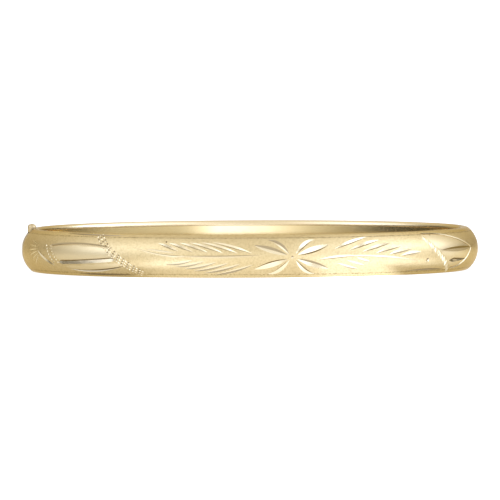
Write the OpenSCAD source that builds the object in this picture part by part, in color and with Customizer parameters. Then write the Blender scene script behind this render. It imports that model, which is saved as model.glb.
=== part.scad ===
// Hinged bangle bracelet: two hollow half rings of D section, joined by a three-knuckle hinge
// at +X and closed by a sprung tongue with a thumb button at -X.
// Millimetres. The ring lies flat on Z = 0 with the middle of its oval on the Z axis;
// the front half is at -Y and the back half at +Y.

/* [Oval] */
// Inside width of the ring, from the clasp to the hinge
inner_w = 59.2; // [48:0.2:72]
// Inside depth of the ring, from front to back
inner_d = 52.2; // [43:0.2:63]

/* [Band] */
// Height of the band
band_h = 6; // [5:0.1:8]
// Thickness of the band from its inside face to its crown
band_t = 2.4; // [2:0.1:3.2]
// Radius between the inside face and each edge
corner_r = 0.45; // [0.35:0.05:0.6]
// Width of the flat along each edge
edge_flat = 0.12; // [0.05:0.01:0.3]
// Radius of the dome's shoulders
shoulder_r = 0.9; // [0.6:0.05:1.3]
// Wall of the domed shell
wall = 0.25; // [0.2:0.01:0.3]
// Thickness of the flat liner
liner_t = 0.2; // [0.15:0.01:0.25]
// Lip of the shell beside the liner, past the corner's round
lip = 0.25; // [0.1:0.05:0.5]

/* [Seams] */
// Gap between the two halves when closed
seam = 0.1; // [0.06:0.01:0.2]
// Thickness of the end plates at the clasp
plate_t = 0.4; // [0.3:0.05:0.6]
// Thickness of the end blocks at the hinge
block_t = 0.9; // [0.75:0.05:1.4]

/* [Hinge] */
// Outside radius of a knuckle
knuckle_r = 0.55; // [0.45:0.01:0.6]
// How far the knuckles lie inside the crown of the band
barrel_depth = 0.4; // [0.35:0.05:0.5]
// Length of a knuckle
knuckle_l = 1.04; // [0.8:0.02:1.1]
// Gap between two knuckles
knuckle_gap = 0.04; // [0.02:0.01:0.1]
// Clearance round a knuckle that turns in the other half's block
knuckle_clear = 0.08; // [0.05:0.01:0.12]
// Radius of the hinge pin
pin_r = 0.25; // [0.2:0.01:0.3]
// Radial clearance of the pin in the knuckle that turns on it
pin_clear = 0.02; // [0.01:0.01:0.05]
// Height of each riveted head of the pin
head_h = 0.08; // [0.04:0.01:0.15]
// How far each riveted head stands past the pin's side
head_lip = 0.08; // [0.04:0.01:0.12]
// How far the bangle opens, in degrees
open_angle = 50; // [30:1:60]
// Spare angle left beyond the full opening, in degrees
open_spare = 2; // [1:0.5:5]

/* [Clasp] */
// How far the tongue reaches past the middle of the seam
tongue_l = 4; // [3.4:0.1:4.6]
// Width of the blade and of the spring's nose
blade_w = 0.8; // [0.6:0.05:0.9]
// Thickness of the blade
blade_t = 0.25; // [0.2:0.01:0.3]
// Height of the blade's underside above the mouth's floor
blade_clear = 0.1; // [0.05:0.01:0.15]
// Length of the nose that joins the blade and the spring
nose_l = 0.4; // [0.3:0.05:0.6]
// Thickness of the spring leaf
spring_t = 0.2; // [0.15:0.01:0.25]
// Width of the spring's catch at its free end
catch_w = 1.1; // [1:0.05:1.2]
// Gap between the catch and the back plate
catch_gap = 0.1; // [0.05:0.01:0.2]
// Floor of the mouth, below the middle of the band
mouth_drop = 1.2; // [1:0.05:1.4]
// Height of the mouth
mouth_h = 1.5; // [1.3:0.05:1.7]
// Room on each side of the catch in the mouth
mouth_clear = 0.05; // [0.04:0.01:0.1]

/* [Thumb button] */
// Diameter of the button
knob_d = 1.15; // [0.9:0.05:1.2]
// How far the button stands above the band's edge
knob_proud = 0.68; // [0.65:0.01:1]
// Height of the button below the band's edge
knob_sunk = 0.5; // [0.4:0.05:0.7]
// Width of the stem across the band
stem_w = 0.44; // [0.3:0.02:0.5]
// Length of the stem and of its landing on the spring, along the band
stem_l = 0.7; // [0.5:0.05:0.8]
// Travel of the button
press = 0.6; // [0.4:0.05:0.65]
// Room between the button or stem and the slot
slot_clear = 0.05; // [0.04:0.01:0.08]

/* [Hidden] */
$fn = 96;

gold = "#e3c684";
warm_gold = "#d8ae6c";
far = 100; // longer than anything it cuts
over = 0.5; // how far a cutter runs past what it cuts
oversize = 1.01; // how much larger a round's circle is than its radius

FRONT = -1;
BACK = 1;
CLASP = -1;
HINGE = 1;

half_w = inner_w / 2;
squash = inner_d / inner_w; // the round ring is squashed by this much into the oval

// The band's section: X from the inside face outwards, Y up from the middle of the band.
half_h = band_h / 2;
edge_x = corner_r + edge_flat;
dome_d = band_t - edge_x;
shoulder_y = half_h - shoulder_r;
crown_r = (pow(dome_d, 2) + pow(shoulder_y, 2) - pow(shoulder_r, 2)) / (2 * (dome_d - shoulder_r));
crown_x = band_t - crown_r;
crown_end = atan2(shoulder_y, edge_x - crown_x);
liner_w = band_h - 2 * (corner_r + lip);

// The hinge, measured outwards from the inside face and up from the middle of the band.
hinge_x = band_t - barrel_depth - knuckle_r;
knuckle_step = knuckle_l + knuckle_gap;
barrel_l = 3 * knuckle_l + 2 * knuckle_gap;
turn_room = (open_angle + open_spare) / 2;

// The clasp: the button stands just clear of the shell's inside lip, above the tongue's line.
clasp_x = wall + 2 * slot_clear + knob_d / 2;
catch_y = seam / 2 + plate_t + catch_gap;
knob_y = catch_y + stem_l / 2;
mouth_floor = -mouth_drop;
mouth_top = mouth_floor + mouth_h;
blade_z = mouth_floor + blade_clear;
nose_top = blade_z + blade_t + spring_t;
catch_top = mouth_top + press - slot_clear;
knob_z = half_h - knob_sunk;
slot_floor = knob_z - press - slot_clear;

front_shell();
front_liner();
front_clasp_plate();
front_hinge_block();
front_knuckle_upper();
front_knuckle_lower();
hinge_pin();
tongue_blade();
tongue_spring();
back_shell();
back_liner();
back_clasp_plate();
back_hinge_block();
back_knuckle();
thumb_stem();
thumb_button();

// ---- Section of the band ----

// What a round takes off a corner: a pie slice past the round's own circle.
// The circle is a little over size, so it crosses its neighbours rather than just touching them.
module round_cut(centre, r, from, to) {
    reach = 3 * r;
    middle = (from + to) / 2;
    translate(centre)
        difference() {
            polygon([[0, 0], for (a = [from, middle, to]) reach * [cos(a), sin(a)]]);
            circle(r * oversize);
        }
}

// The whole D section, drawn in from its outline by a wall. With no wall it is drawn tall,
// for ring() to trim to true flat edges.
module section(inset = 0) {
    top = half_h + (inset == 0 ? over : -inset);
    difference() {
        intersection() {
            translate([inset, -top]) square([band_t, 2 * top]);
            translate([crown_x, 0]) circle(crown_r - inset);
        }
        for (side = [0, 1])
            mirror([0, side]) {
                round_cut([edge_x, shoulder_y], shoulder_r - inset, crown_end, 90);
                round_cut([corner_r, half_h - corner_r], corner_r - inset, 90, 180);
            }
    }
}

module liner_section(depth) {
    translate([0, -liner_w / 2]) square([depth, liner_w]);
}

module shell_section() {
    difference() {
        section();
        section(wall);
        translate([-over, 0]) liner_section(wall + 2 * over);
    }
}

// ---- Places ----

// Sweeps a section round the whole oval, and trims both edges flat.
module ring() {
    intersection() {
        translate([0, 0, half_h])
            scale([1, squash, 1])
                rotate_extrude() translate([half_w, 0]) children();
        translate([-far / 2, -far / 2, 0]) cube([far, far, band_h]);
    }
}

// Local axes at one end of the oval: X outwards from the inside face, Z up from the band's middle.
module at_end(end) {
    mirror([end == CLASP ? 1 : 0, 0, 0]) translate([half_w, 0, half_h]) children();
}

// Everything on one side of the seams, between two distances from them.
module slab(half, from, to) {
    mirror([0, half == BACK ? 1 : 0, 0])
        translate([-far / 2, -to, -far / 2]) cube([far, to - from, far]);
}

// A solid piece of the band at one end, between two distances from the middle of the seam.
module end_piece(end, half, from, to) {
    intersection() {
        ring() section();
        slab(half, from, to);
        translate([end == HINGE ? 0 : -far, -far / 2, -far / 2]) cube(far);
    }
}

// Half of the swept ring, cut back to make room for its two end pieces.
module half_ring(half) {
    difference() {
        ring() children();
        slab(-half, 0, far);
        at_end(CLASP) translate([-over, 0, 0]) end_room(plate_t);
        at_end(HINGE) translate([-over, 0, 0]) end_room(block_t);
    }
}

module end_room(depth) {
    reach = seam / 2 + depth;
    translate([0, -reach, -band_h]) cube([band_t + 2 * over, 2 * reach, 2 * band_h]);
}

// ---- Shells and liners ----

module front_shell() {
    color(gold) half_ring(FRONT) shell_section();
}

module back_shell() {
    color(gold)
        difference() {
            half_ring(BACK) shell_section();
            at_end(CLASP) button_slot();
        }
}

module front_liner() {
    color(gold) half_ring(FRONT) liner_section(liner_t);
}

module back_liner() {
    color(gold) half_ring(BACK) liner_section(liner_t);
}

// ---- Hinge ----

module at_hinge_axis() {
    at_end(HINGE) translate([hinge_x, 0, 0]) children();
}

// Room beyond the axis for the two halves to swing apart.
module swing_room() {
    reach = band_t;
    side = reach * tan(turn_room);
    translate([0, 0, -band_h])
        linear_extrude(2 * band_h)
            polygon([[0, 0], [reach, -side], [reach, side]]);
}

// Seats for the barrel in one half's end block: tight on the half's own knuckles.
module barrel_seat(own_outer) {
    outer_r = knuckle_r + (own_outer ? 0 : knuckle_clear);
    middle_r = knuckle_r + (own_outer ? knuckle_clear : 0);
    middle_l = knuckle_l + (own_outer ? 2 * knuckle_gap : 0);
    cylinder(r = middle_r, h = middle_l, center = true);
    for (side = [0, 1])
        mirror([0, 0, side])
            translate([0, 0, middle_l / 2]) cylinder(r = outer_r, h = band_h);
}

module hinge_block(half) {
    difference() {
        end_piece(HINGE, half, seam / 2, seam / 2 + block_t);
        at_hinge_axis() {
            swing_room();
            barrel_seat(half == FRONT);
        }
    }
}

module front_hinge_block() {
    color(gold) hinge_block(FRONT);
}

module back_hinge_block() {
    color(gold) hinge_block(BACK);
}

// One tube of the hinge, at a number of steps above the middle of the band.
module knuckle(step, bore_r) {
    color(warm_gold)
        at_hinge_axis()
            translate([0, 0, step * knuckle_step])
                difference() {
                    cylinder(r = knuckle_r, h = knuckle_l, center = true);
                    cylinder(r = bore_r, h = knuckle_l + 2 * over, center = true);
                }
}

module front_knuckle_upper() {
    knuckle(1, pin_r);
}

module front_knuckle_lower() {
    knuckle(-1, pin_r);
}

module back_knuckle() {
    knuckle(0, pin_r + pin_clear);
}

module hinge_pin() {
    color(warm_gold)
        at_hinge_axis() {
            cylinder(r = pin_r, h = barrel_l + head_h, center = true);
            for (side = [0, 1])
                mirror([0, 0, side])
                    translate([0, 0, barrel_l / 2]) cylinder(r = pin_r + head_lip, h = head_h);
        }
}

// ---- Clasp ----

// Extrudes an outline drawn along the band and up, across the band about the clasp's line.
module across_clasp(width) {
    translate([clasp_x - width / 2, 0, 0])
        rotate([90, 0, 90]) linear_extrude(width) children();
}

module tongue_blade() {
    root = seam / 2 + plate_t;
    color(warm_gold)
        at_end(CLASP)
            across_clasp(blade_w) {
                translate([-root, blade_z]) square([root + tongue_l, blade_t]);
                translate([tongue_l - nose_l, blade_z]) square([nose_l, blade_t + spring_t]);
            }
}

// The leaf rises from the nose to a level landing behind the back plate, where it catches.
module tongue_spring() {
    landing = catch_y + stem_l;
    root = tongue_l - nose_l;
    low = nose_top - spring_t;
    color(warm_gold)
        at_end(CLASP)
            intersection() {
                across_clasp(catch_w)
                    polygon([
                        [root, low],
                        [root, nose_top],
                        [landing, catch_top],
                        [catch_y, catch_top],
                        [catch_y, catch_top - spring_t],
                        [landing, catch_top - spring_t]
                    ]);
                translate([clasp_x, 0, -band_h])
                    linear_extrude(2 * band_h)
                        polygon([
                            [-catch_w / 2, catch_y],
                            [catch_w / 2, catch_y],
                            [catch_w / 2, landing],
                            [blade_w / 2, root],
                            [-blade_w / 2, root],
                            [-catch_w / 2, landing]
                        ]);
            }
}

// The opening that the button drops into, open at the seam so that it can leave.
module button_slot() {
    slot_r = knob_d / 2 + slot_clear;
    translate([clasp_x, 0, slot_floor]) {
        translate([0, knob_y, 0]) cylinder(r = slot_r, h = band_h);
        translate([-slot_r, -over, 0]) cube([2 * slot_r, knob_y + over, band_h]);
    }
}

module front_clasp_plate() {
    color(gold)
        difference() {
            end_piece(CLASP, FRONT, seam / 2, seam / 2 + plate_t);
            at_end(CLASP)
                across_clasp(blade_w)
                    translate([-plate_t - seam, blade_z]) square([plate_t + 2 * seam, blade_t]);
        }
}

module back_clasp_plate() {
    mouth_w = catch_w + 2 * mouth_clear;
    notch_w = stem_w + 2 * slot_clear;
    run = seam / 2 + plate_t + over;
    color(gold)
        difference() {
            end_piece(CLASP, BACK, seam / 2, seam / 2 + plate_t);
            at_end(CLASP) {
                across_clasp(mouth_w) translate([0, mouth_floor]) square([run, mouth_h]);
                across_clasp(notch_w) translate([0, mouth_floor]) square([run, band_h]);
                button_slot();
            }
        }
}

module thumb_stem() {
    color(warm_gold)
        at_end(CLASP)
            across_clasp(stem_w)
                translate([catch_y, catch_top]) square([stem_l, knob_z - catch_top]);
}

module thumb_button() {
    knob_r = knob_d / 2;
    rise = knob_sunk + knob_proud - knob_r;
    color(warm_gold)
        at_end(CLASP)
            translate([clasp_x, knob_y, knob_z]) {
                cylinder(r = knob_r, h = rise);
                translate([0, 0, rise]) sphere(knob_r);
            }
}
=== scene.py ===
import math

import bmesh
import bpy
import numpy as np
from mathutils import Matrix, Vector
from mathutils.geometry import delaunay_2d_cdt


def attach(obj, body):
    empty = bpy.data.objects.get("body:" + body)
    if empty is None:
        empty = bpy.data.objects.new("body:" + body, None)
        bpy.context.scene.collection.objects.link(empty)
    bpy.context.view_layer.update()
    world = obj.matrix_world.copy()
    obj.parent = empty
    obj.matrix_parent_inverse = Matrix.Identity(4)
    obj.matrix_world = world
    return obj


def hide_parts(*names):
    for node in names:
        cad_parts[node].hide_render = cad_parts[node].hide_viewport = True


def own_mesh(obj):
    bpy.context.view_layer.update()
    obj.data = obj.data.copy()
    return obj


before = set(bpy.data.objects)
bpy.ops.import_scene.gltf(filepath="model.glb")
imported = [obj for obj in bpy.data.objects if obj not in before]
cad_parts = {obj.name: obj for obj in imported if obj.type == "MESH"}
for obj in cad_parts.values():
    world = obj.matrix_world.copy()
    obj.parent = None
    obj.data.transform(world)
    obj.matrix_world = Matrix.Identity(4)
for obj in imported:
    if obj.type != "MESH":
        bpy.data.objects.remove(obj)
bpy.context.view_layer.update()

# ---- Front shell ----
# The outside of the front half: a strip of pale 14 carat gold sheet, 0.25 mm thick. Its flowers,
# leaves and borders are cut by hand with a graver, then it is drawn to a D section and bent round
# an oval mandrel. Every size here is in millimetres until the finished mesh is made.

MM = 0.001
half_w = 29.6
oval_squash = 52.2 / 59.2
band_h = 6.0
band_t = 2.4
wall = 0.25
corner_r = 0.45
edge_flat = 0.12
shoulder_r = 0.9
lip = 0.25
clasp_gap = 0.45
hinge_gap = 0.95

half_h = band_h / 2
mean_turn = half_w + band_t
edge_x = corner_r + edge_flat
shoulder_y = half_h - shoulder_r
dome_d = band_t - edge_x
crown_r = (dome_d**2 + shoulder_y**2 - shoulder_r**2) / (2 * (dome_d - shoulder_r))
crown_x = band_t - crown_r
crown_turn = math.atan2(shoulder_y, edge_x - crown_x)
crown_reach = crown_r * crown_turn
shoulder_reach = shoulder_r * (math.pi / 2 - crown_turn)
corner_reach = corner_r * math.pi / 2
shoulder_end = crown_reach + shoulder_reach
flat_end = shoulder_end + edge_flat
corner_end = flat_end + corner_reach
half_girth = corner_end + lip


class Number:
    """A value in a node tree: Python's operators add its Math nodes."""

    def __init__(self, bench, socket):
        self.bench = bench
        self.socket = socket

    def math(self, operation, *others):
        inputs = dict(enumerate((self, *others)))
        return self.bench.number("ShaderNodeMath", {"operation": operation}, inputs)

    def __add__(self, other):
        return self.math("ADD", other)

    def __radd__(self, other):
        return self.math("ADD", other)

    def __sub__(self, other):
        return self.math("SUBTRACT", other)

    def __rsub__(self, other):
        return self.math("MULTIPLY_ADD", -1.0, other)

    def __mul__(self, other):
        return self.math("MULTIPLY", other)

    def __rmul__(self, other):
        return self.math("MULTIPLY", other)

    def __truediv__(self, other):
        return self.math("DIVIDE", other)

    def __neg__(self):
        return self.math("MULTIPLY", -1.0)

    def __abs__(self):
        return self.math("ABSOLUTE")

    def sin(self):
        return self.math("SINE")

    def cos(self):
        return self.math("COSINE")

    def sign(self):
        return self.math("SIGN")

    def least(self, other):
        return self.math("MINIMUM", other)

    def most(self, other):
        return self.math("MAXIMUM", other)


class Bench:
    """A node tree that is being built."""

    def __init__(self, tree):
        self.tree = tree
        tree.nodes.clear()

    def node(self, kind, settings=None, inputs=None):
        """Adds a node: its settings first, then the values or links of its sockets."""
        made = self.tree.nodes.new(kind)
        for name, value in (settings or {}).items():
            if name == "stops":
                self.set_stops(made, value)
            else:
                setattr(made, name, value)
        for name, value in (inputs or {}).items():
            socket = made.inputs[name]
            if isinstance(value, Number):
                value = value.socket
            if isinstance(value, bpy.types.NodeSocket):
                self.tree.links.new(value, socket)
            else:
                socket.default_value = value
        return made

    def set_stops(self, ramp_node, stops):
        """Each stop is a position and a grey or a colour."""
        elements = ramp_node.color_ramp.elements
        while len(elements) < len(stops):
            elements.new(0.5)
        for element, (place, shade) in zip(elements, stops):
            element.position = place
            if isinstance(shade, (int, float)):
                shade = (shade, shade, shade)
            element.color = (*shade, 1.0)

    def number(self, kind, settings=None, inputs=None, out=0):
        return Number(self, self.node(kind, settings, inputs).outputs[out])


class Former(Bench):
    """A Geometry Nodes tree with a geometry, named sizes and a material as its inputs."""

    def __init__(self, name, sizes):
        tree = bpy.data.node_groups.new(name, "GeometryNodeTree")
        super().__init__(tree)
        tree.interface.new_socket("Geometry", in_out="INPUT", socket_type="NodeSocketGeometry")
        for size in sizes:
            tree.interface.new_socket(size, in_out="INPUT", socket_type="NodeSocketFloat")
        tree.interface.new_socket("Material", in_out="INPUT", socket_type="NodeSocketMaterial")
        tree.interface.new_socket("Geometry", in_out="OUTPUT", socket_type="NodeSocketGeometry")
        self.given = self.node("NodeGroupInput")

    def size(self, name):
        return Number(self, self.given.outputs[name])

    def close(self, geometry):
        """Ends the tree: real meshes rather than instances, in the piece's material."""
        real = self.node("GeometryNodeRealizeInstances", None, {"Geometry": geometry})
        coated = self.node(
            "GeometryNodeSetMaterial",
            None,
            {"Geometry": real.outputs[0], "Material": self.given.outputs["Material"]},
        )
        self.node("NodeGroupOutput", None, {"Geometry": coated.outputs[0]})
        return self.tree


def section_former():
    """The drawplate: a flat strip, lengthwise along X with its width along Y and its cuts down
    along -Z, comes out with X along the strip, Y outwards and Z up the band."""
    sizes = (
        "Crown radius", "Crown centre", "Crown reach", "Shoulder radius", "Shoulder reach",
        "Edge flat", "Corner radius", "Corner reach",
    )
    bench = Former("drawn to a D section", sizes)
    place = bench.node("GeometryNodeInputPosition").outputs[0]
    parts = bench.node("ShaderNodeSeparateXYZ", None, {0: place})
    along, across, height = (Number(bench, socket) for socket in parts.outputs)
    depth = -height
    side = across.sign()
    reach = abs(across)
    stage_end = 0.0
    lengths = []
    for name in ("Crown reach", "Shoulder reach", "Edge flat", "Corner reach"):
        stage = bench.size(name)
        lengths.append((reach - stage_end).most(0.0).least(stage))
        stage_end = stage + stage_end
    on_crown, on_shoulder, on_flat, on_corner = lengths
    on_lip = (reach - stage_end).most(0.0)
    crown = bench.size("Crown radius")
    shoulder = bench.size("Shoulder radius")
    corner = bench.size("Corner radius")
    crown_angle = on_crown / crown
    crown_limit = bench.size("Crown reach") / crown
    shoulder_angle = crown_limit + on_shoulder / shoulder
    corner_angle = on_corner / corner
    turned = crown_angle + on_shoulder / shoulder + corner_angle
    outwards = bench.size("Crown centre") + crown * crown_angle.cos()
    outwards = outwards + shoulder * (shoulder_angle.cos() - crown_limit.cos())
    outwards = outwards - on_flat - corner * corner_angle.sin() - depth * turned.cos()
    up = crown * crown_angle.sin() + shoulder * (shoulder_angle.sin() - crown_limit.sin())
    up = up + corner * (corner_angle.cos() - 1.0) - on_lip - depth * turned.sin()
    formed = bench.node("ShaderNodeCombineXYZ", None, {0: along, 1: outwards, 2: up * side})
    moved = bench.node(
        "GeometryNodeSetPosition",
        None,
        {"Geometry": bench.given.outputs["Geometry"], "Position": formed.outputs[0]},
    )
    return bench.close(moved.outputs[0])


def mandrel_former():
    """The oval mandrel: X along the strip goes round the ring, Y outwards and Z up stay so.
    Each end is trimmed square at its gap from the middle of the seams."""
    sizes = ("Half width", "Turning radius", "Squash", "Half height", "Side", "Clasp gap",
             "Hinge gap")
    bench = Former("bent round the oval", sizes)
    place = bench.node("GeometryNodeInputPosition").outputs[0]
    parts = bench.node("ShaderNodeSeparateXYZ", None, {0: place})
    along, outwards, up = (Number(bench, socket) for socket in parts.outputs)
    turn = along / bench.size("Turning radius")
    radius = bench.size("Half width") + outwards
    at_hinge = (along.sign() + 1.0) * 0.5
    gap = bench.size("Clasp gap") + at_hinge * (bench.size("Hinge gap") - bench.size("Clasp gap"))
    away = (radius * turn.cos() * bench.size("Squash")).most(gap)
    x = radius * turn.sin()
    y = away * bench.size("Side")
    z = up + bench.size("Half height")
    bent = bench.node("ShaderNodeCombineXYZ", None, {0: x, 1: y, 2: z})
    moved = bench.node(
        "GeometryNodeSetPosition",
        None,
        {"Geometry": bench.given.outputs["Geometry"], "Position": bent.outputs[0]},
    )
    return bench.close(moved.outputs[0])


def form(obj, tree, material, **sizes):
    """Puts a forming step on a piece, its sizes given by name and in millimetres."""
    step = obj.modifiers.new(tree.name, "NODES")
    step.node_group = tree
    wanted = {name.replace("_", " ").capitalize(): value for name, value in sizes.items()}
    for item in tree.interface.items_tree:
        if item.in_out == "INPUT" and item.name in wanted:
            step[item.identifier] = float(wanted[item.name])
        elif item.in_out == "INPUT" and item.name == "Material":
            step[item.identifier] = material


def new_object(name, mesh):
    made = bpy.data.objects.new(name, mesh)
    bpy.context.scene.collection.objects.link(made)
    return made


def made_solid(obj, scale=MM):
    """Runs the forming steps, and leaves a plain mesh in metres with no modifiers."""
    depsgraph = bpy.context.evaluated_depsgraph_get()
    mesh = bpy.data.meshes.new_from_object(obj.evaluated_get(depsgraph))
    obj.modifiers.clear()
    blank = obj.data
    mesh.transform(Matrix.Scale(scale, 4))
    obj.data = mesh
    mesh.name = obj.name
    bpy.data.meshes.remove(blank)
    return obj


def reach_at(height):
    """How far a height above the band's middle is from the crown, measured over the dome."""
    rise = abs(height)
    if rise <= crown_r * math.sin(crown_turn):
        over = crown_r * math.asin(rise / crown_r)
    else:
        lift = min(1.0, (rise - shoulder_y) / shoulder_r)
        over = crown_reach + shoulder_r * (math.asin(lift) - crown_turn)
    return math.copysign(over, height)


def smooth_path(points, step=0.22):
    """A smooth curve through points given along the band and up from its middle."""
    knots = np.array([(s, reach_at(h)) for s, h in points], float)
    if len(knots) == 2:
        knots = np.array([knots[0], knots.mean(0), knots[1]])
    first = 2 * knots[0] - knots[1]
    last = 2 * knots[-1] - knots[-2]
    knots = np.vstack([first, knots, last])
    made = []
    for i in range(1, len(knots) - 2):
        before, start, end, after = knots[i - 1:i + 3]
        count = max(2, int(math.ceil(np.linalg.norm(end - start) / step)))
        for u in np.arange(count) / count:
            made.append(0.5 * (
                2 * start + (end - before) * u
                + (2 * before - 5 * start + 4 * end - after) * u * u
                + (3 * start - before - 3 * end + after) * u**3
            ))
    made.append(knots[-2])
    return np.array(made)


def leaf_width(u):
    return np.sin(np.pi * u) ** 0.8


def comet_width(u):
    return np.minimum((u / 0.22) ** 0.7, ((1 - u) / 0.78) ** 0.85)


def tail_width(u):
    return comet_width(1 - u)


def even_width(u):
    return np.minimum(1.0, np.minimum(u, 1 - u) / 0.05) ** 0.7


strips = []
pits = []


def cut(points, width, walls=(26, 55), shape=leaf_width, residue=(0.0, 0.6)):
    """One stroke of the graver. A stroke drawn towards the hinge has its upper wall first:
    walls are their slopes in degrees, and the last pair darkens each wall: partly polish that
    stays in the cut, partly painted shade."""
    path = smooth_path(points)
    steps = np.linalg.norm(np.diff(path, axis=0), axis=1)
    u = np.concatenate([[0], np.cumsum(steps)]) / steps.sum()
    heading = np.gradient(path, axis=0)
    heading /= np.linalg.norm(heading, axis=1)[:, None]
    left = np.stack([-heading[:, 1], heading[:, 0]], 1)
    widths = width * shape(np.clip(u, 0, 1))
    widths[0] = widths[-1] = 0.0
    upper, lower = (math.tan(math.radians(a)) for a in walls)
    share = lower / (upper + lower)
    top = path + left * (widths / 2)[:, None]
    foot = path - left * (widths / 2)[:, None]
    valley = top + (foot - top) * share
    depth = widths * share * upper
    strips.append((top, valley, foot, depth, residue))


def along(points, spacing, offset=0.0):
    """Places and headings at even distances along a path, some way to its left."""
    path = smooth_path(points, 0.05)
    steps = np.linalg.norm(np.diff(path, axis=0), axis=1)
    run = np.concatenate([[0], np.cumsum(steps)])
    count = max(1, int(round(run[-1] / spacing)))
    places = []
    for distance in np.linspace(0, run[-1], count + 1):
        here = np.array([np.interp(distance, run, path[:, k]) for k in (0, 1)])
        ahead = np.array([np.interp(distance + 0.05, run, path[:, k]) for k in (0, 1)])
        behind = np.array([np.interp(distance - 0.05, run, path[:, k]) for k in (0, 1)])
        heading = (ahead - behind) / max(1e-9, np.linalg.norm(ahead - behind))
        left = np.array([-heading[1], heading[0]])
        places.append((here + left * offset, heading))
    return places


def punch(place, radius, depth, residue=0.5):
    """A small six-sided pit, struck with a point. Its place is over the dome, not up it."""
    turns = np.arange(6) * math.pi / 3 + 0.3
    rim = np.array(place) + radius * np.stack([np.cos(turns), np.sin(turns)], 1)
    pits.append((np.array(place, float), rim, depth, residue))


def nick(place, heading, length, width, turn, walls=(35, 50), residue=(0.0, 0.5)):
    """A short stroke across a line, turned from its heading by an angle in degrees."""
    a = math.radians(turn)
    way = np.array([
        heading[0] * math.cos(a) - heading[1] * math.sin(a),
        heading[0] * math.sin(a) + heading[1] * math.cos(a),
    ])
    start = np.array(place) - way * length / 2
    end = np.array(place) + way * length / 2
    middle = np.array(place)
    left = np.array([-way[1], way[0]])
    upper, lower = (math.tan(math.radians(v)) for v in walls)
    share = lower / (upper + lower)
    spine = np.array([start, start * 0.7 + end * 0.3, start * 0.3 + end * 0.7, end])
    widths = np.array([0, width, width, 0])
    top = spine + left * (widths / 2)[:, None]
    foot = spine - left * (widths / 2)[:, None]
    valley = top + (foot - top) * share
    strips.append((top, valley, foot, widths * share * upper, residue))


def bow(start, end, bulge=0.0):
    """A shallow arc from one place to another, its middle this far above their chord."""
    (s0, h0), (s1, h1) = start, end
    return [
        (s0 + (s1 - s0) * u, h0 + (h1 - h0) * u + 4 * bulge * u * (1 - u))
        for u in (0.0, 0.25, 0.5, 0.75, 1.0)
    ]


# In the cut, nick and punch calls below, the last numbers darken the walls: partly polish residue,
# partly painted shade.
# Clasp panel: two grooves with polished metal between them, a crescent under it, and fine lines
# along the band's edges. Dots close its end, and rays fan out from a point beyond them.
panel_start = -37.0
panel_end = -24.0
panel_top = 1.1
panel_foot = -1.1
edge_line = 2.65
dot_step = 0.46
upper_groove = bow((panel_start, panel_top), (panel_end, panel_top), 0.4)
lower_groove = bow((panel_start + 2.5, panel_foot), (panel_end + 1, panel_foot + 0.6), -0.1)
crescent = bow((panel_start + 4.5, -2.0), (panel_end + 2.5, -1.4), -0.45)
cut(upper_groove, 0.44, (40, 28), even_width, (0.58, 0.1))
for place, heading in along(upper_groove[2:], dot_step):
    nick(place, heading, 0.62, 0.22, 48, (40, 40), (0.0, 0.75))
cut(lower_groove, 0.62, (44, 22), even_width, (0.6, 0.35))
for share in (0.2, 0.4, 0.6):
    place = (panel_start + 2.5 + share * 11.5, panel_foot + share * 0.6 - 0.1)
    nick(place, (1, 0.05), 0.9, 0.24, -14, (36, 36), (0.0, 0.1))
cut(crescent, 0.4, (32, 50), leaf_width, (0.75, 0.5))
cut(bow((panel_end - 7, -edge_line), (panel_end + 4, -edge_line)), 0.36, (46, 40), leaf_width,
    (0.95, 0.9))
cut(bow((panel_end - 10, edge_line + 0.2), (panel_end + 2, edge_line + 0.1)), 0.32, (38, 30),
    leaf_width, (0.8, 0.0))
for shift, size in ((-1.0, 0.17), (0.2, 0.13)):
    row_of_dots = bow(
        (panel_start + shift, panel_top), (panel_start + shift + 2, panel_foot), -0.1
    )
    for place, _ in along(row_of_dots, 0.5):
        punch(place, size, 0.08, 0.25)
ray_point = (panel_start - 1.8, 0.7)
ray_squash = 0.55
for count in range(6):
    turn = math.radians(160 + 14 * count)
    inner, outer = (
        (ray_point[0] + reach * math.cos(turn), ray_point[1] + ray_squash * reach * math.sin(turn))
        for reach in (2.2, 5.6)
    )
    cut([outer, inner], 0.2, (12, 20), leaf_width, (0.1, 0.25))
cut(bow((ray_point[0] - 2, 0.4), (panel_start + 1, -1.6), -0.1), 0.5, (30, 26), leaf_width,
    (0.3, 0.0))

# Between the panel and the sprays a band of dots runs down the strip at a slant, in three rows.
dot_band = bow((-26.5, edge_line), (-19.0, -2.4), -0.3)
for row in (-0.4, 0.0, 0.4):
    for count, (place, _) in enumerate(along(dot_band, dot_step, row)):
        punch(place, 0.18, 0.08, 0.9 * (count % 2))


def spray(first_root, last_root, leaves, heading, side, lengths, spreads, width):
    """Leaves along one side of a stem, their roots evenly spaced. Lengths, and spreads away
    from the stem, run from the first leaf's to the last's. Every leaf bows a little outwards."""
    for share in np.linspace(0, 1, leaves):
        root_s, root_h = (a + (b - a) * share for a, b in zip(first_root, last_root))
        length = lengths[0] + (lengths[1] - lengths[0]) * share
        spread = spreads[0] + (spreads[1] - spreads[0]) * share
        tip = (root_s + heading * length, root_h + side * spread)
        left_end, right_end = sorted([(root_s, root_h), tip])
        # Painted shade, with some polish residue, on the leaf's lower wall.
        wall_residue_and_shade = 0.7 if heading == side else 0.62
        cut(bow(left_end, right_end, side * 0.03 * length), width, (20, 36), leaf_width,
            (0.0, wall_residue_and_shade))


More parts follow.
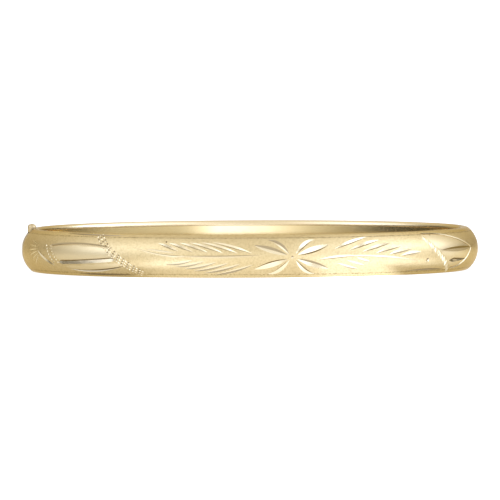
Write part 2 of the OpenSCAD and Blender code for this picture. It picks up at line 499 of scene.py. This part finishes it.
# Clasp spray: a long curved stem, and leaves that point away from the flower.
cut(bow((-20.5, 1.4), (-12.0, 0.0), -0.35), 0.3, (44, 26), tail_width, (0.7, 0.0))
cut(bow((-13.0, 0.1), (-1.5, 0.2), -0.15), 0.34, (44, 30), leaf_width, (0.6, 0.05))
cut(bow((-18.0, 1.0), (-13.5, 0.5)), 0.24, (40, 24), leaf_width, (0.6, 0.1))
spray((-2.5, 0.4), (-13.0, 0.7), 6, -1, 1, (5.8, 3.2), (1.6, 1.1), 0.44)
spray((-2.5, -1.1), (-11.0, -0.5), 6, -1, -1, (5.8, 4.0), (1.5, 0.6), 0.48)

# Flower: eight long petals, two to a quarter, that meet at an open middle. They start on a small
# oval and end on a large one, and the graver leans another way in each quarter.
flower = (3.0, -0.1)
eye = (0.9, 0.45)
bloom = (6.8, 2.7)
for start in (0, 180):
    for side in (1, -1):
        for slant, width, curl in ((38, 0.85, 0.05), (60, 0.62, 0.5)):
            turn = math.radians(start + side * slant)
            away = math.copysign(1, math.sin(turn))
            inner, outer = (
                (flower[0] + oval[0] * math.cos(turn), flower[1] + oval[1] * math.sin(turn))
                for oval in (eye, bloom)
            )
            # Which wall of a petal gets painted shade, with some polish residue, depends on its
            # quarter.
            if start == 0 and side > 0:
                walls, wall_residue_and_shade = (20, 48), (0.0, 0.8)
            elif start == 180 and side > 0:
                walls, wall_residue_and_shade = (46, 20), (0.9, 0.0)
            else:
                walls, wall_residue_and_shade = (34, 26), (0.7, 0.1)
            left_end, right_end = sorted([inner, outer])
            cut(bow(left_end, right_end, away * curl), width, walls, leaf_width, wall_residue_and_shade)
punch((flower[0], reach_at(flower[1])), 0.2, 0.09, 0.9)

# Hinge spray: a forked stem, and leaves that point towards the hinge.
cut(bow((6.5, -0.5), (12.5, 0.0), 0.1), 0.4, (20, 48), leaf_width, (0.0, 0.6))
cut(bow((10.5, 0.0), (24.0, -1.1), 0.25), 0.3, (22, 42), leaf_width, (0.0, 0.5))
spray((9.0, 0.9), (20.0, -0.2), 6, 1, 1, (5.6, 4.0), (1.6, 0.4), 0.52)
spray((9.5, -1.0), (12.5, -0.3), 3, 1, -1, (3.6, 2.2), (0.9, 0.6), 0.4)

# Hinge panel: a wriggled border, a pointed outline and two long pointed grooves inside it.
point = (39.0, 0.4)
border = bow((25.0, 2.0), (32.0, -edge_line), -0.1)
for count, (place, heading) in enumerate(along(border, dot_step)):
    nick(place, heading, 1.05, 0.3, -34 if count % 2 else -64, (28, 45), (0.0, 0.45))
upper_edge = bow((25.0, edge_line), point, 0.6)
lower_edge = bow((32.0, -2.2), point, -0.8)
cut(upper_edge, 0.3, (40, 24), even_width, (0.3, 0.0))
cut(lower_edge, 0.28, (26, 40), even_width, (0.0, 0.3))
cut(bow((28.5, 0.3), point), 0.7, (36, 26), leaf_width, (0.9, 0.4))
cut(bow((31.0, -1.2), (37.0, -1.1)), 0.66, (36, 26), comet_width, (0.9, 0.45))
for start in ((34.5, 0.45), (31.5, -1.3)):
    cut(bow(start, (start[0] + 2.6, start[1])), 0.28, (44, 40), leaf_width, (0.95, 0.7))
cut(bow((21.5, -2.4), (30.5, -2.4), 0.1), 0.3, (40, 32), leaf_width, (0.95, 0.85))

# A few small pits between the motifs.
for place, size in (((-15.0, 2.0), 0.15), ((25.5, -1.0), 0.34), ((27.0, 2.4), 0.14)):
    punch((place[0], reach_at(place[1])), size, 0.12, 1.1)


def metal_between(upper, lower, margin=0.15):
    """The outline of the metal between two lines that run the same way."""
    over = [(s, h - margin) for s, h in upper]
    return over + [(s, h + margin) for s, h in reversed(lower)]


panels = [
    metal_between(upper_groove, lower_groove, 0.25),
    metal_between(bow((panel_start + 3, -1.55), (panel_end + 1, -0.85)), crescent),
    metal_between(upper_edge, [*((s + 0.6, h) for s, h in border), *lower_edge[2:]]),
]


def in_a_panel(points):
    """1 for the points that lie in one of the polished panels."""
    found = np.zeros(len(points))
    for outline in panels:
        corners = np.array([(s, reach_at(h)) for s, h in outline])
        crossings = np.zeros(len(points), int)
        for a, b in zip(corners, np.roll(corners, -1, axis=0)):
            level = (a[1] > points[:, 1]) != (b[1] > points[:, 1])
            rise = b[1] - a[1] or 1e-9
            crossing = a[0] + (points[:, 1] - a[1]) * (b[0] - a[0]) / rise
            crossings += level & (points[:, 0] < crossing)
        found[crossings % 2 == 1] = 1.0
    return found


def lifted(values, corners, points):
    """Values at points inside a triangle, from the values at its corners; others get -1."""
    a, b, c = corners
    area = (b[0] - a[0]) * (c[1] - a[1]) - (c[0] - a[0]) * (b[1] - a[1])
    if abs(area) < 1e-12:
        return np.full(len(points), -1.0)
    v = ((points[:, 0] - a[0]) * (c[1] - a[1]) - (c[0] - a[0]) * (points[:, 1] - a[1])) / area
    w = ((b[0] - a[0]) * (points[:, 1] - a[1]) - (points[:, 0] - a[0]) * (b[1] - a[1])) / area
    inside = (v >= -1e-6) & (w >= -1e-6) & (v + w <= 1 + 1e-6)
    found = values[0] * (1 - v - w) + values[1] * v + values[2] * w
    return np.where(inside, found, -1.0)


def cut_facets():
    """Every flat facet of the engraving: its corners, their depths and how dark it is painted,
    for polish residue and painted shade.
    """
    for top, valley, foot, depth, (upper, lower) in strips:
        for i in range(len(top) - 1):
            j = i + 1
            for side, residue in ((top, upper), (foot, lower)):
                yield (side[i], valley[i], valley[j]), (0, depth[i], depth[j]), residue
                yield (side[i], valley[j], side[j]), (0, depth[j], 0), residue
    for middle, rim, depth, residue in pits:
        for i in range(6):
            toward = (rim[i] + rim[(i + 1) % 6]) / 2 - middle
            # Each pit is painted darker on one side than the other: painted shade, as if light came
            # one way.
            shaded = 0.5 + 0.5 * math.cos(math.atan2(toward[1], toward[0]) - math.radians(120))
            yield (middle, rim[i], rim[(i + 1) % 6]), (depth, 0, 0), residue * shaded


def engraved(points):
    """Depth and darkening (polish residue and painted shade) at points of the strip, where the
    deepest cut wins.
    """
    order = np.argsort(points[:, 0])
    placed = points[order]
    depth = np.zeros(len(points))
    residue = np.zeros(len(points))
    for corners, values, shade in cut_facets():
        low = min(c[0] for c in corners) - 1e-6
        high = max(c[0] for c in corners) + 1e-6
        first, last = np.searchsorted(placed[:, 0], (low, high))
        if first == last:
            continue
        found = lifted(values, corners, placed[first:last])
        deeper = found > depth[first:last]
        depth[first:last] = np.where(deeper, found, depth[first:last])
        residue[first:last] = np.where(deeper, shade, residue[first:last])
    back = np.empty(len(points), int)
    back[order] = np.arange(len(points))
    return depth[back], residue[back]


def strip_rows():
    """Where the strip's lengthwise lines lie, from one lip over the crown to the other."""
    rows = list(np.linspace(0, crown_reach, 15))
    rows += list(np.linspace(crown_reach, shoulder_end, 7)[1:])
    rows += [flat_end]
    rows += list(np.linspace(flat_end, corner_end, 9)[1:])
    rows += [half_girth]
    rows = np.array(rows)
    return np.concatenate([-rows[:0:-1], rows])


def strip_end(gap):
    """Length of strip from the middle of the band to where the crown meets an end's gap."""
    return mean_turn * math.acos(gap / (mean_turn * oval_squash))


def triangulated(points, edges):
    """Triangles over a flat set of points that keep every given edge, all facing up, and where
    each of the given points ended up among the new ones."""
    flat, _, faces, given, *_ = delaunay_2d_cdt(
        [Vector(p) for p in points], edges, [], 0, 1e-5, True
    )
    flat = np.array([(p.x, p.y) for p in flat])
    faces = np.array(faces, int)
    found = {old: new for new, olds in enumerate(given) for old in olds}
    a, b, c = (flat[faces[:, k]] for k in range(3))
    area = (b[:, 0] - a[:, 0]) * (c[:, 1] - a[:, 1]) - (c[:, 0] - a[:, 0]) * (b[:, 1] - a[:, 1])
    faces[area < 0] = faces[area < 0][:, ::-1]
    return flat, faces[np.abs(area) > 1e-9], found


def rim_of(columns, rows):
    """The points round the edge of a strip, in order."""
    rim = [(s, rows[0]) for s in columns[:-1]] + [(columns[-1], t) for t in rows[:-1]]
    rim += [(s, rows[-1]) for s in columns[:0:-1]] + [(columns[0], t) for t in rows[:0:-1]]
    return rim


def strip_mesh(name, engrave):
    """The closed strip of sheet, lying flat: its face with any cuts, its back, its four edges."""
    rows = strip_rows()
    columns = np.linspace(-strip_end(clasp_gap), strip_end(hinge_gap), 251)
    rim = rim_of(columns, rows)
    rim_edges = [(i, (i + 1) % len(rim)) for i in range(len(rim))]
    grid = np.array([(s, t) for s in columns[1:-1] for t in rows[1:-1]])
    points = [*rim]
    edges = [*rim_edges]
    if engrave:
        lines = []
        for top, valley, foot, _, _ in strips:
            lines += [top, valley, foot]
        for middle, edge, _, _ in pits:
            lines.append(np.vstack([edge, edge[:1]]))
            points.append(tuple(middle))
        close = np.zeros(len(grid), bool)
        order = np.argsort(grid[:, 0])
        placed = grid[order, 0]
        for line in lines:
            for start, end in zip(line[:-1], line[1:]):
                if np.linalg.norm(end - start) < 1e-5:
                    continue
                edges.append((len(points), len(points) + 1))
                points += [tuple(start), tuple(end)]
                first, last = np.searchsorted(
                    placed, (min(start[0], end[0]) - 0.08, max(start[0], end[0]) + 0.08)
                )
                near = order[first:last]
                run = end - start
                share = ((grid[near] - start) @ run) / (run @ run)
                foot_at = start + np.clip(share, 0, 1)[:, None] * run
                gaps = np.linalg.norm(grid[near] - foot_at, axis=1)
                close[near[gaps < 0.07]] = True
        inside, _ = engraved(grid)
        grid = grid[~close & (inside <= 0)]
    points += [tuple(p) for p in grid]
    face_points, face, face_rim = triangulated(points, edges)
    sparse = [(s, t) for s in columns[4:-4:6] for t in rows[4:-4:4]]
    back_points, back, back_rim = triangulated([*rim, *sparse], rim_edges)
    depth = np.zeros(len(face_points))
    middles = face_points[face].mean(1)
    bright = np.zeros(len(face))
    shade = np.zeros(len(face))
    calm = np.zeros(len(face))
    if engrave:
        calm = in_a_panel(middles)
        depth, _ = engraved(face_points)
        # Each face's darkening: painted shade on cut walls, with some polish residue.
        at_middle, shade = engraved(middles)
        bright = (at_middle > 0.0015).astype(float)
    vertices = [(s, t, -d) for (s, t), d in zip(face_points, depth)]
    vertices += [(s, t, -wall) for s, t in back_points]
    offset = len(face_points)
    faces = [tuple(f) for f in face]
    faces += [tuple(int(i) + offset for i in f[::-1]) for f in back]
    for a, b in rim_edges:
        faces.append((face_rim[b], face_rim[a], back_rim[a] + offset, back_rim[b] + offset))
    mesh = bpy.data.meshes.new(name)
    mesh.from_pydata(vertices, [], [tuple(int(i) for i in f) for f in faces])
    extra = len(faces) - len(face)
    sizes = np.array([len(f) for f in faces])
    for label, values in (("bright_cut", bright), ("residue", shade), ("panel", calm)):
        layer = mesh.attributes.new(label, "FLOAT", "CORNER")
        padded = np.concatenate([values, np.zeros(extra)])
        layer.data.foreach_set("value", np.repeat(padded, sizes).astype(np.float32))
    girth = np.full(len(vertices), half_girth)
    girth[:offset] = np.abs(face_points[:, 1])
    layer = mesh.attributes.new("girth", "FLOAT", "POINT")
    layer.data.foreach_set("value", girth.astype(np.float32))
    return mesh


def crease(obj, dome_angle=40, cut_angle=9):
    """Smooth shading, with a crisp line where a cut starts, and between two of its facets."""
    mesh = obj.data
    mesh.polygons.foreach_set("use_smooth", np.ones(len(mesh.polygons), bool))
    layer = mesh.attributes.get("bright_cut")
    values = np.zeros(len(mesh.loops), np.float32)
    if layer:
        layer.data.foreach_get("value", values)
    starts = np.zeros(len(mesh.polygons), int)
    mesh.polygons.foreach_get("loop_start", starts)
    is_cut = values[starts] > 0.5
    solid = bmesh.new()
    solid.from_mesh(mesh)
    for edge in solid.edges:
        if len(edge.link_faces) == 2:
            one, two = (is_cut[f.index] for f in edge.link_faces)
            angle = math.degrees(edge.calc_face_angle(0.0))
            limit = cut_angle if one and two else dome_angle
            edge.smooth = not (one != two or angle > limit)
    solid.to_mesh(mesh)
    solid.free()


def gold(name, tone, roughness, grain=0.0, grain_size=0.16, cut_tone=None, seams=True):
    """Gold alloy: a soft change of tone, fine polishing marks, a satin grain if wanted, and for
    engraved work a paler tone in fresh cuts and polished panels, partly a painted sheen, and
    darker cut walls, partly polish residue and partly painted shade. With seams, painted shade
    darkens the metal near the line where the two halves meet, where the gap lies."""
    material = bpy.data.materials.new(name)
    material.use_nodes = True
    bench = Bench(material.node_tree)
    place = bench.node("ShaderNodeTexCoord").outputs["Object"]
    parts = bench.node("ShaderNodeSeparateXYZ", None, {0: place})
    endways = Number(bench, parts.outputs[0])
    sideways = Number(bench, parts.outputs[1])
    clouds = bench.number("ShaderNodeTexNoise", None,
                          {"Vector": place, "Scale": 160.0, "Detail": 3.0, "Roughness": 0.5})
    mottled = bench.number("ShaderNodeTexNoise", None,
                           {"Vector": place, "Scale": 1.0 / (grain_size * MM), "Detail": 4.0,
                            "Roughness": 0.65})
    fine = bench.number("ShaderNodeTexNoise", None,
                        {"Vector": place, "Scale": 3.2 / (grain_size * MM), "Detail": 2.0})
    drawn = bench.node("ShaderNodeMapping", None,
                       {"Vector": place, "Scale": (300.0, 300.0, 9000.0)}).outputs[0]
    marks = bench.number("ShaderNodeTexNoise", None,
                         {"Vector": drawn, "Scale": 1.0, "Detail": 3.0, "Roughness": 0.6})

    def blended(share, first, second):
        first, second = ((*c, 1.0) if isinstance(c, tuple) else c for c in (first, second))
        return bench.node("ShaderNodeMix", {"data_type": "RGBA"},
                          {"Factor": share, 6: first, 7: second}).outputs[2]

    warm = tuple(c * f for c, f in zip(tone, (0.97, 0.93, 0.84)))
    colour = blended((clouds - 0.35) * 1.6, tone, warm)
    rough = roughness + (clouds - 0.5) * 0.06 + (marks - 0.5) * 0.05
    relief = marks * 0.25
    strength = 0.08
    if grain:
        relief = mottled * 0.6 + fine * 0.4 + marks * 0.25
        strength = grain
        rough = rough + (mottled - 0.5) * 0.1
    if cut_tone:
        cut_mask = bench.number("ShaderNodeAttribute", {"attribute_name": "bright_cut"}, None, 2)
        panel = bench.number("ShaderNodeAttribute", {"attribute_name": "panel"}, None, 2)
        residue = bench.number("ShaderNodeAttribute", {"attribute_name": "residue"}, None, 2)
        satin = tuple(c * f for c, f in zip(tone, (0.74, 0.70, 0.62)))
        colour = blended((mottled - 0.44) * 3.2, colour, satin)
        over = bench.number("ShaderNodeAttribute", {"attribute_name": "girth"}, None, 2)
        # Mottled darker bands run near both edges of the band, in the dark tone.
        border = (1.0 - abs(over - reach_at(2.52)) * 7.0).most(0.0)
        colour = blended(border * (mottled * 3.0 - 1.15), colour, residue_and_shade_tone)
        brushed = ((reach_at(2.62) - over) * 8.0).least(1.0).most(0.0)
        # Cuts and polished panels get a paler tone: partly their bright metal, partly painted sheen.
        half_bright = tuple((a + b) / 2 for a, b in zip(tone, cut_tone))
        colour = blended(panel * 0.7, colour, half_bright)
        colour = blended(cut_mask, colour, cut_tone)
        # Painted shade, with some polish residue, darkens the cut walls marked for it.
        colour = blended(residue, colour, residue_and_shade_tone)
        near_clasp = (-0.5 - endways * 26.0).most(0.0).least(0.4)
        rough = rough + near_clasp * 0.3
        rough = rough * (1 - cut_mask) + cut_mask * (0.2 + residue * 0.16)
        relief = relief * (1 - cut_mask.most(panel * 0.85)) * brushed
        rough = rough - (1 - brushed) * 0.1
    metal = 1.0
    # Painted shade of the gap: darker, less metallic metal close to the seam plane.
    if seams:
        seam_shade = (1.25 - abs(sideways) * 1500.0).most(0.0).least(0.9)
        colour = blended(seam_shade, colour, residue_and_shade_tone)
        metal = 1.0 - seam_shade * 0.8
    bump = bench.node("ShaderNodeBump", None,
                      {"Height": relief, "Strength": strength, "Distance": 0.05 * MM})
    surface = bench.node("ShaderNodeBsdfPrincipled", None,
                         {"Base Color": colour, "Metallic": metal, "Roughness": rough,
                          "Specular Tint": (0.80, 0.66, 0.42, 1.0), "Specular IOR Level": 0.05,
                          "Normal": bump.outputs[0]})
    bench.node("ShaderNodeOutputMaterial", None, {"Surface": surface.outputs[0]})
    return material


# The paler cut tone is partly a painted sheen; the dark tone is painted shade in cuts and at the
# seams, with some polish residue.
satin_tone = (0.53, 0.405, 0.198)
bright_tone = (0.66, 0.54, 0.32)
residue_and_shade_tone = (0.125, 0.075, 0.022)
engraved_gold = gold("engraved_gold", satin_tone, 0.34, grain=1.0, grain_size=0.26,
                     cut_tone=bright_tone)

drawplate = section_former()
mandrel = mandrel_former()
section_sizes = dict(
    crown_radius=crown_r, crown_centre=crown_x, crown_reach=crown_reach,
    shoulder_radius=shoulder_r, shoulder_reach=shoulder_reach,
    edge_flat=edge_flat, corner_radius=corner_r, corner_reach=corner_reach,
)
oval_sizes = dict(
    half_width=half_w, turning_radius=mean_turn, squash=oval_squash, half_height=half_h,
    clasp_gap=clasp_gap, hinge_gap=hinge_gap,
)

front_shell = new_object("front_shell_engraved", strip_mesh("front_strip", True))
form(front_shell, drawplate, engraved_gold, **section_sizes)
form(front_shell, mandrel, engraved_gold, side=-1, **oval_sizes)
made_solid(front_shell)
crease(front_shell)
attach(front_shell, "front_half")
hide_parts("front_shell")

# ---- Back shell ----
# The outside of the back half: the same D strip, left plain and polished, with an opening cut
# down from its upper edge beside the clasp for the thumb button to drop into.

plain_gold = gold("plain_gold", (0.60, 0.475, 0.27), 0.2, grain=0.06, grain_size=0.3)


def smoothed_copy(node, name, material, angle=30):
    """A CAD node's mesh, joined up and smooth shaded, as a new piece."""
    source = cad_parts[node].data
    solid = bmesh.new()
    solid.from_mesh(source)
    bmesh.ops.remove_doubles(solid, verts=solid.verts, dist=0.5e-6)
    mesh = bpy.data.meshes.new(name)
    solid.to_mesh(mesh)
    solid.free()
    mesh.polygons.foreach_set("use_smooth", np.ones(len(mesh.polygons), bool))
    mesh.set_sharp_from_angle(angle=math.radians(angle))
    mesh.materials.clear()
    mesh.materials.append(material)
    return new_object(name, mesh)


def fit_piece(piece, body, node):
    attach(piece, body)
    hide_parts(node)


fit_piece(smoothed_copy("back_shell", "back_shell_plain", plain_gold), "back_half", "back_shell")

# ---- Liners ----
# A flat strip closes the inside of each hollow half. It is polished sheet, 0.2 mm thick, bent
# to the inside of the oval and soldered between the shell's two lips.

liner_t = 0.2
liner_h = band_h - 2 * (corner_r + lip)
liner_edge = 0.03
liner_crown = 0.1
polished_gold = gold("polished_gold", (0.71, 0.56, 0.29), 0.11, grain=0.02, grain_size=0.4)


def liner_mesh(name):
    """A long bar of the liner's section, lying along X, Y outwards and Z up."""
    low, high = -liner_h / 2, liner_h / 2
    face = np.linspace(high - liner_edge, low + liner_edge, 9)
    inner = [(liner_crown * (2 * h / liner_h) ** 2, h) for h in face]
    outline = [
        (liner_crown + liner_edge, low), (liner_t, low), (liner_t, high),
        (liner_crown + liner_edge, high), *inner,
    ]
    columns = np.linspace(-strip_end(clasp_gap), strip_end(hinge_gap), 241)
    count = len(outline)
    vertices = [(s, r, h) for s in columns for r, h in outline]
    faces = []
    for i in range(len(columns) - 1):
        for j in range(count):
            k = (j + 1) % count
            faces.append((i * count + j, (i + 1) * count + j, (i + 1) * count + k, i * count + k))
    last = (len(columns) - 1) * count
    faces.append(tuple(range(count)))
    faces.append(tuple(last + j for j in range(count - 1, -1, -1)))
    mesh = bpy.data.meshes.new(name)
    mesh.from_pydata(vertices, [], faces)
    return mesh


for half, side in (("front", -1), ("back", 1)):
    liner = new_object(f"{half}_liner_strip", liner_mesh(f"{half}_liner_bar"))
    form(liner, mandrel, polished_gold, side=side, **oval_sizes)
    made_solid(liner)
    solid = bmesh.new()
    solid.from_mesh(liner.data)
    bmesh.ops.recalc_face_normals(solid, faces=solid.faces)
    solid.to_mesh(liner.data)
    solid.free()
    crease(liner, dome_angle=30)
    fit_piece(liner, f"{half}_half", f"{half}_liner")

# ---- End plates and hinge blocks ----
# Solid gold plates close the two ends at the clasp, and thicker blocks close the ends at the
# hinge. They are filed to the band's outline after soldering, so only the seams show.

for node, body in (
    ("front_clasp_plate", "front_half"),
    ("back_clasp_plate", "back_half"),
    ("front_hinge_block", "front_half"),
    ("back_hinge_block", "back_half"),
):
    fit_piece(smoothed_copy(node, f"{node}_filed", polished_gold), body, node)

# ---- Hinge ----
# Three short tubes share one pin. The outer two are soldered to the front half and the middle
# one to the back half, and the pin's ends are riveted over.

hinge_gold = gold("hinge_gold", (0.55, 0.41, 0.21), 0.3, grain=0.08, grain_size=0.3, seams=False)
for node, body in (
    ("front_knuckle_upper", "front_half"),
    ("front_knuckle_lower", "front_half"),
    ("back_knuckle", "back_half"),
    ("hinge_pin", "front_half"),
):
    fit_piece(smoothed_copy(node, f"{node}_turned", hinge_gold), body, node)

# ---- Tongue and thumb piece ----
# A flat blade reaches from the front half into the back one, and a spring leaf is folded back
# over it. The leaf's free end carries a stem and a domed button that the thumb presses down.

spring_gold = gold("spring_gold", (0.44, 0.335, 0.175), 0.42, grain=0.08, grain_size=0.3,
                   seams=False)
fit_piece(smoothed_copy("tongue_blade", "tongue_blade_filed", spring_gold), "front_half",
          "tongue_blade")
spring = smoothed_copy("tongue_spring", "tongue_spring_leaf", spring_gold)
fit_piece(spring, "front_half", "tongue_spring")
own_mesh(spring)
fit_piece(smoothed_copy("thumb_stem", "thumb_stem_filed", spring_gold), "thumb_piece",
          "thumb_stem")


def turned(name, profile, middle, material, segments=48):
    """A solid turned on a lathe: radii and heights in millimetres, from its foot to its top."""
    solid = bmesh.new()
    rings = []
    for radius, height in profile[1:-1]:
        rings.append([
            solid.verts.new((
                middle[0] + radius * math.cos(2 * math.pi * i / segments),
                middle[1] + radius * math.sin(2 * math.pi * i / segments),
                height,
            ))
            for i in range(segments)
        ])
    foot = solid.verts.new((*middle, profile[0][1]))
    top = solid.verts.new((*middle, profile[-1][1]))
    for i in range(segments):
        j = (i + 1) % segments
        solid.faces.new((foot, rings[0][j], rings[0][i]))
        solid.faces.new((top, rings[-1][i], rings[-1][j]))
        for under, over in zip(rings, rings[1:]):
            solid.faces.new((under[i], under[j], over[j], over[i]))
    for vertex in solid.verts:
        vertex.co *= MM
    mesh = bpy.data.meshes.new(name)
    solid.to_mesh(mesh)
    solid.free()
    mesh.materials.append(material)
    mesh.polygons.foreach_set("use_smooth", np.ones(len(mesh.polygons), bool))
    mesh.set_sharp_from_angle(angle=math.radians(50))
    return new_object(name, mesh)


# Radii and heights up the button: a straight stem, then a rounded end.
button_profile = (
    (0, 5.5), (0.57, 5.5), (0.6, 5.53), (0.6, 6.2), (0.59, 6.32), (0.55, 6.44), (0.47, 6.54),
    (0.36, 6.61), (0.24, 6.65), (0.12, 6.675), (0, 6.68),
)
button = turned("thumb_button_domed", button_profile, (-30.525, 0.9), spring_gold)
fit_piece(button, "thumb_piece", "thumb_button")

# ---- Studio ----
# The bangle stands on a pale table in soft light from every side. The walls are brightest to the
# left and right of the camera and dimmer behind the two ends.

floor_mesh = bpy.data.meshes.new("pale_table")
table = bmesh.new()
bmesh.ops.create_circle(table, cap_ends=True, segments=96, radius=1.2)
table.to_mesh(floor_mesh)
table.free()
floor = new_object("pale_table", floor_mesh)


def light(strength):
    """White light of some strength: a little warm where it is dim, cooler where it is bright."""
    over = min(1.6, max(-0.5, strength - 1.0))
    return (strength, strength * (1.0 + 0.1 * over), strength * (1.0 + 0.4 * over))


# The table is lit from beneath, so that it looks white all over. Its glow is weakest under the
# two ends of the bangle, and in front of it the glow changes from left to right.
white = bpy.data.materials.new("table_white")
white.use_nodes = True
bench = Bench(white.node_tree)
place = bench.node("ShaderNodeTexCoord").outputs["Object"]
parts = bench.node("ShaderNodeSeparateXYZ", None, {0: place})
sideways, forwards, _ = (Number(bench, socket) for socket in parts.outputs)


def glow_across(stops):
    """A colour that changes from left to right, its places given in millimetres."""
    stops = [(0.5 + x / 250, light(strength)) for x, strength in stops]
    return bench.node("ShaderNodeValToRGB", {"stops": stops}, {0: sideways * 4.0 + 0.5}).outputs[0]


def shared(share, first, second):
    return bench.node("ShaderNodeMix", {"data_type": "RGBA"},
                      {"Factor": share, 6: first, 7: second}).outputs[2]


beneath = glow_across((
    (-34, 0.95), (-19, 0.95), (-15.5, 1.35), (-11, 1.55), (4, 1.5), (9, 2.3), (17, 2.4), (19.5, 1.0),
    (35, 1.0),
))
around = glow_across((
    (-120, 1.5), (-50, 1.5), (-37, 0.95), (-29, 0.95), (-23, 1.8), (-17, 2.7), (-10, 1.7),
    (5, 1.5), (10, 2.3), (20, 2.8), (27, 2.7), (31, 1.2), (38, 1.1), (50, 2.2), (120, 2.4),
))
across_oval = sideways * (1 / (mean_turn * MM))
along_oval = forwards * (1 / (mean_turn * oval_squash * MM))
outside = (across_oval * across_oval + along_oval * along_oval - 1.04) * 8.0
glow = shared(outside, beneath, around)
glow = shared(forwards * 60.0 + 0.5, glow, (1.05, 1.05, 1.05, 1.0))
table_top = bench.node("ShaderNodeBsdfPrincipled", None,
                       {"Base Color": (0.2, 0.2, 0.2, 1.0), "Roughness": 0.9,
                        "Emission Color": glow, "Emission Strength": 0.92})
bench.node("ShaderNodeOutputMaterial", None, {"Surface": table_top.outputs[0]})
floor_mesh.materials.append(white)

world = bpy.data.worlds.new("soft_studio")
world.use_nodes = True
bpy.context.scene.world = world
bench = Bench(world.node_tree)
direction = bench.node("ShaderNodeTexCoord").outputs["Generated"]
parts = bench.node("ShaderNodeSeparateXYZ", None, {0: direction})
east, north, up = (Number(bench, socket) for socket in parts.outputs)
# Half a turn either way from the camera's side: 0 behind on the left, 0.5 in front, 1 behind.
bearing = east.math("ARCTAN2", -north) / (2 * math.pi) + 0.5


def ring_of_light(stops):
    """A colour that changes with the bearing."""
    stops = [(place, light(strength)) for place, strength in stops]
    return bench.node("ShaderNodeValToRGB", {"stops": stops}, {0: bearing}).outputs[0]


def height_mask(stops):
    return bench.number("ShaderNodeValToRGB", {"stops": stops}, {0: up})


walls = ring_of_light((
    (0.0, 0.8), (0.045, 0.9), (0.11, 0.8), (0.19, 0.8), (0.235, 1.9), (0.28, 2.6),
    (0.335, 3.6), (0.37, 2.4), (0.44, 1.5), (0.49, 1.25), (0.53, 1.5), (0.58, 2.1), (0.65, 2.8),
    (0.71, 4.6), (0.77, 3.6), (0.81, 1.3), (0.88, 0.8), (0.94, 0.9), (1.0, 0.8),
))
horizon = ring_of_light((
    (0.0, 0.8), (0.08, 0.75), (0.13, 0.1), (0.25, 0.08), (0.29, 0.15), (0.33, 0.34), (0.355, 0.55),
    (0.38, 0.78), (0.41, 1.05), (0.44, 1.5), (0.47, 1.9), (0.5, 2.1), (0.535, 2.3), (0.555, 1.7),
    (0.572, 1.15), (0.59, 0.95), (0.64, 0.85), (0.7, 0.7), (0.75, 0.4), (0.8, 0.2),
    (0.85, 0.15), (0.92, 0.5), (0.97, 0.9), (1.0, 0.8),
))
at_horizon = height_mask(((0.0, 0.0), (0.004, 1.0), (0.11, 1.0), (0.17, 0.0)))
overhead = height_mask(((0.0, 0.0), (0.3, 0.0), (0.72, 0.8), (1.0, 0.8)))
zenith = height_mask(((0.0, 0.0), (0.85, 0.0), (0.97, 1.0), (1.0, 1.0)))
beyond = (up * -1000.0).most(0.0).least(1.0)
round_about = shared(at_horizon, walls, horizon)
everywhere = shared(overhead, round_about, (*light(1.5), 1.0))
everywhere = shared(zenith, everywhere, (*light(1.2), 1.0))
everywhere = shared(beyond, everywhere, (1.2, 1.2, 1.2, 1.0))
bench.node("ShaderNodeOutputWorld", None, {
    "Surface": bench.node("ShaderNodeBackground", None, {"Color": everywhere}).outputs[0]})


camera_data = bpy.data.cameras.new("camera")
camera_data.sensor_width = 36.0
camera_data.lens = 1200.0
camera_data.clip_end = 50.0
camera = bpy.data.objects.new("camera", camera_data)
bpy.context.scene.collection.objects.link(camera)
frame_width = 70.0 * MM
bearing_left = math.radians(6.0)
raised = math.radians(2.25)
roll = math.radians(-0.21)
away = frame_width * camera_data.lens / camera_data.sensor_width
sight = Vector((-math.sin(bearing_left) * math.cos(raised),
                -math.cos(bearing_left) * math.cos(raised), math.sin(raised)))
across = Vector((math.cos(bearing_left), -math.sin(bearing_left), 0.0))
upright = sight.cross(across).normalized()
aim = across * 0.03 * MM + upright * 2.82 * MM
camera.location = aim + sight * away
facing = Matrix((across, upright, sight)).transposed()
camera.rotation_euler = (facing @ Matrix.Rotation(roll, 3, "Z")).to_euler()
bpy.context.scene.camera = camera
bpy.context.scene.view_settings.view_transform = "Standard"
